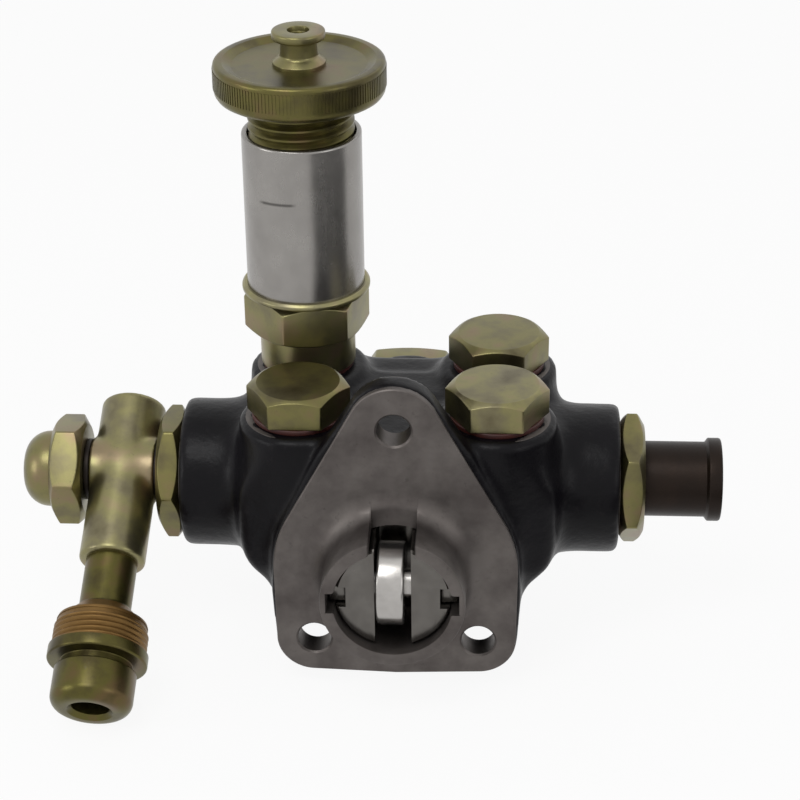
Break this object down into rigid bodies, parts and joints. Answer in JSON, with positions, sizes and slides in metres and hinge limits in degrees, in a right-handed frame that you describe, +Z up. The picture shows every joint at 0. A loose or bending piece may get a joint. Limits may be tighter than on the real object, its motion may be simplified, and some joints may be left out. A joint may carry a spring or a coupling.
{
  "type": "hand primer fuel pump",
  "caption": "Flange-mounted, cam-driven fuel feed pump: cast housing, roller tappet, hexagon valve plugs, plunger hand primer with screw-down knob, banjo inlet and hose outlet.",
  "frame": {"origin": "centre of the machined flange face, on the axis of the tappet hub", "axes": "+Z up along the primer and the valve plugs, +Y from the flange face into the pump, +X towards the hose outlet"},
  "size_m": [0.1918, 0.1269, 0.1682],
  "materials": {
    "black_casting": "gloss black paint, machined mounting face",
    "yellow_zinc": "yellow passivated zinc",
    "steel": "ground steel",
    "red_washer": "dull copper",
    "rubber": "matt",
    "aluminium": "satin turned",
    "brown_steel": "dark brown phosphate",
    "spring_steel": "oiled spring wire"
  },
  "bodies": {
    "housing": {"housing": "black_casting", "plug_front_left": "yellow_zinc", "plug_front_right": "yellow_zinc", "plug_rear_right": "yellow_zinc", "sealing_washer_front_left": "red_washer", "sealing_washer_front_right": "red_washer", "sealing_washer_rear_left": "red_washer", "sealing_washer_rear_right": "red_washer", "primer_base": "yellow_zinc", "primer_collar": "yellow_zinc", "primer_barrel": "aluminium", "primer_stop_ring": "steel", "rear_plug": "yellow_zinc", "rear_plug_washer": "red_washer", "inlet_adaptor": "yellow_zinc", "banjo_body": "yellow_zinc", "banjo_washers": "red_washer", "hollow_stud": "yellow_zinc", "cap_nut": "yellow_zinc", "union_stub": "yellow_zinc", "outlet_adaptor": "yellow_zinc", "hose_nipple": "brown_steel"},
    "piston": {"primer_piston": "aluminium", "piston_seal": "rubber"},
    "knob": {"primer_knob": "yellow_zinc", "primer_rod": "steel", "knob_cap": "yellow_zinc"},
    "tappet": {"tappet_body": "steel", "roller_pin": "steel", "guide_blocks": "steel"},
    "roller": {"roller": "steel"},
    "plunger": {"plunger": "steel", "pressure_spindle": "steel", "plunger_spring": "spring_steel"},
    "suction_valve_front": {"suction_valve_front": "steel", "suction_spring_front": "spring_steel"},
    "suction_valve_rear": {"suction_valve_rear": "steel", "suction_spring_rear": "spring_steel"},
    "delivery_valve_front": {"delivery_valve_front": "steel", "delivery_spring_front": "spring_steel"},
    "delivery_valve_rear": {"delivery_valve_rear": "steel", "delivery_spring_rear": "spring_steel"}
  },
  "joints": [
    {"name": "primer_stroke", "type": "slide", "parent": "housing", "child": "piston", "axis": [0, 0, 1], "range_m": [-0.009, 0.02]},
    {"name": "knob_turn", "type": "hinge", "parent": "piston", "child": "knob", "pos_m": [-0.02625, 0.051, 0.1], "axis": [0, 0, 1], "continuous": true},
    {"name": "tappet_slide", "type": "slide", "parent": "housing", "child": "tappet", "axis": [0, 1, 0], "range_m": [0, 0.008], "stiffness_N_per_m": 500, "springref_m": -0.01},
    {"name": "roller_spin", "type": "hinge", "parent": "tappet", "child": "roller", "pos_m": [0, -0.005, 0], "axis": [1, 0, 0], "continuous": true},
    {"name": "plunger_slide", "type": "slide", "parent": "housing", "child": "plunger", "axis": [0, 1, 0], "range_m": [0, 0.008], "stiffness_N_per_m": 1500, "springref_m": -0.012, "deforming": ["plunger_spring"]},
    {"name": "suction_lift_front", "type": "slide", "parent": "housing", "child": "suction_valve_front", "axis": [0, 0, 1], "range_m": [0, 0.002], "stiffness_N_per_m": 400, "springref_m": -0.003, "deforming": ["suction_spring_front"]},
    {"name": "suction_lift_rear", "type": "slide", "parent": "housing", "child": "suction_valve_rear", "axis": [0, 0, 1], "range_m": [0, 0.002], "stiffness_N_per_m": 400, "springref_m": -0.003, "deforming": ["suction_spring_rear"]},
    {"name": "delivery_lift_front", "type": "slide", "parent": "housing", "child": "delivery_valve_front", "axis": [0, 0, 1], "range_m": [0, 0.002], "stiffness_N_per_m": 400, "springref_m": -0.003, "deforming": ["delivery_spring_front"]},
    {"name": "delivery_lift_rear", "type": "slide", "parent": "housing", "child": "delivery_valve_rear", "axis": [0, 0, 1], "range_m": [0, 0.002], "stiffness_N_per_m": 400, "springref_m": -0.003, "deforming": ["delivery_spring_rear"]}
  ],
  "couplings": [
    {"joint": "plunger_slide", "follows": "tappet_slide", "ratio": 1}
  ]
}
